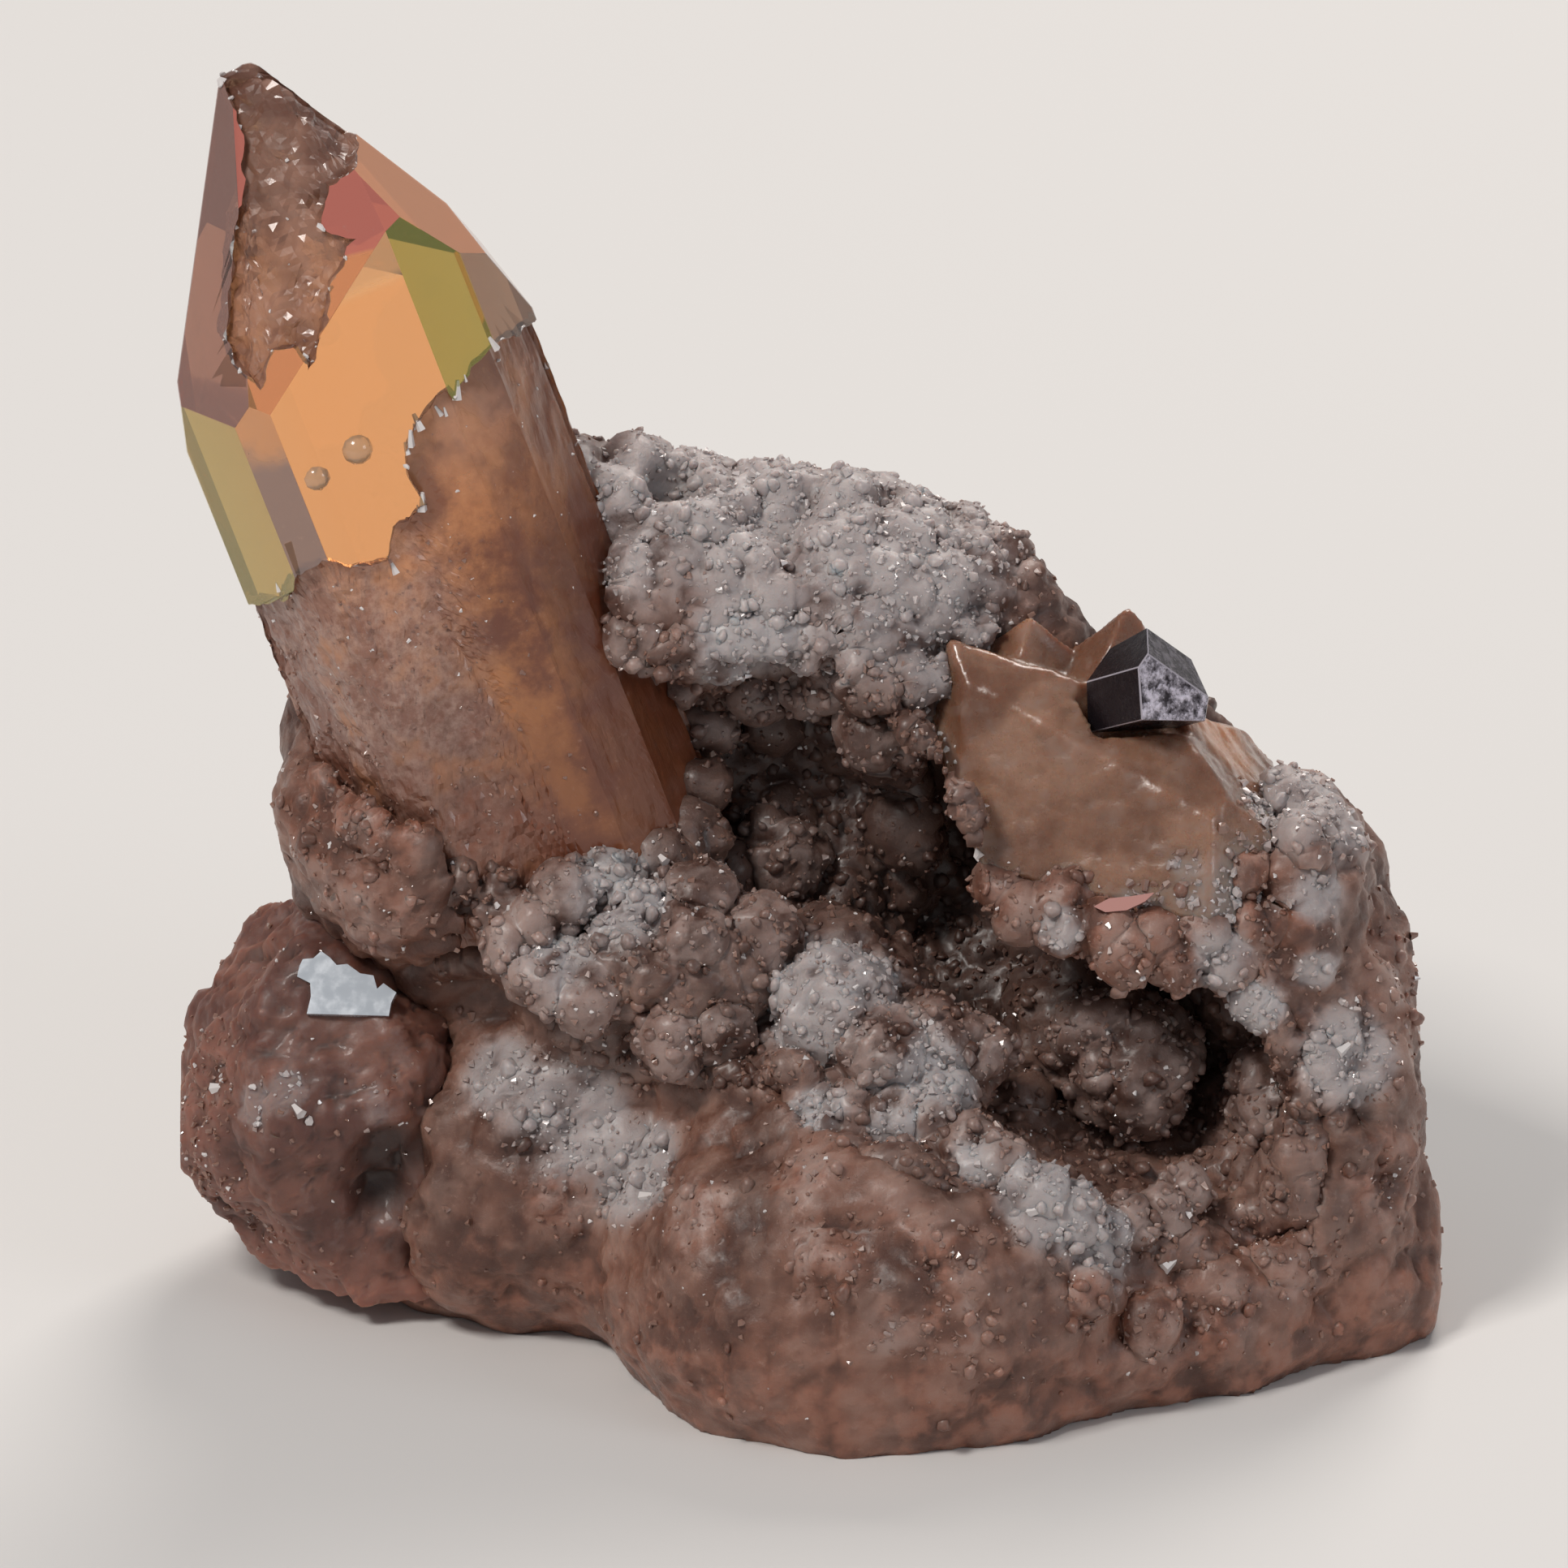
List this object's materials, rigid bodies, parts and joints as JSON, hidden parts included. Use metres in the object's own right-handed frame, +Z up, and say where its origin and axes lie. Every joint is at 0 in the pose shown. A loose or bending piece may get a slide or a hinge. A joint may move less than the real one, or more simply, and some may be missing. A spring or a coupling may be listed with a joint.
{
  "type": "topaz crystal on matrix",
  "caption": "Sherry-coloured topaz crystals and a small black bixbyite grown on a hollow piece of brown volcanic rock lined with grey druse.",
  "frame": {"origin": "middle of the bounding box, at the level of the flat underside", "axes": "+Z up, the hollow opens to -Y, the main crystal leans towards -X"},
  "size_m": [0.0422, 0.0254, 0.044],
  "materials": {
    "matrix": null,
    "druse": null,
    "clear_topaz": "clear sherry-coloured crystal with etched zones",
    "brown_topaz": "cloudy brown crystal",
    "etched_topaz": "etched brown crystal with one bright face",
    "bixbyite": null
  },
  "bodies": {
    "root": {"matrix": "matrix", "druse_crust": "druse", "main_topaz": "clear_topaz", "right_topaz": "brown_topaz", "left_topaz": "etched_topaz", "bixbyite": "bixbyite"}
  },
  "joints": []
}
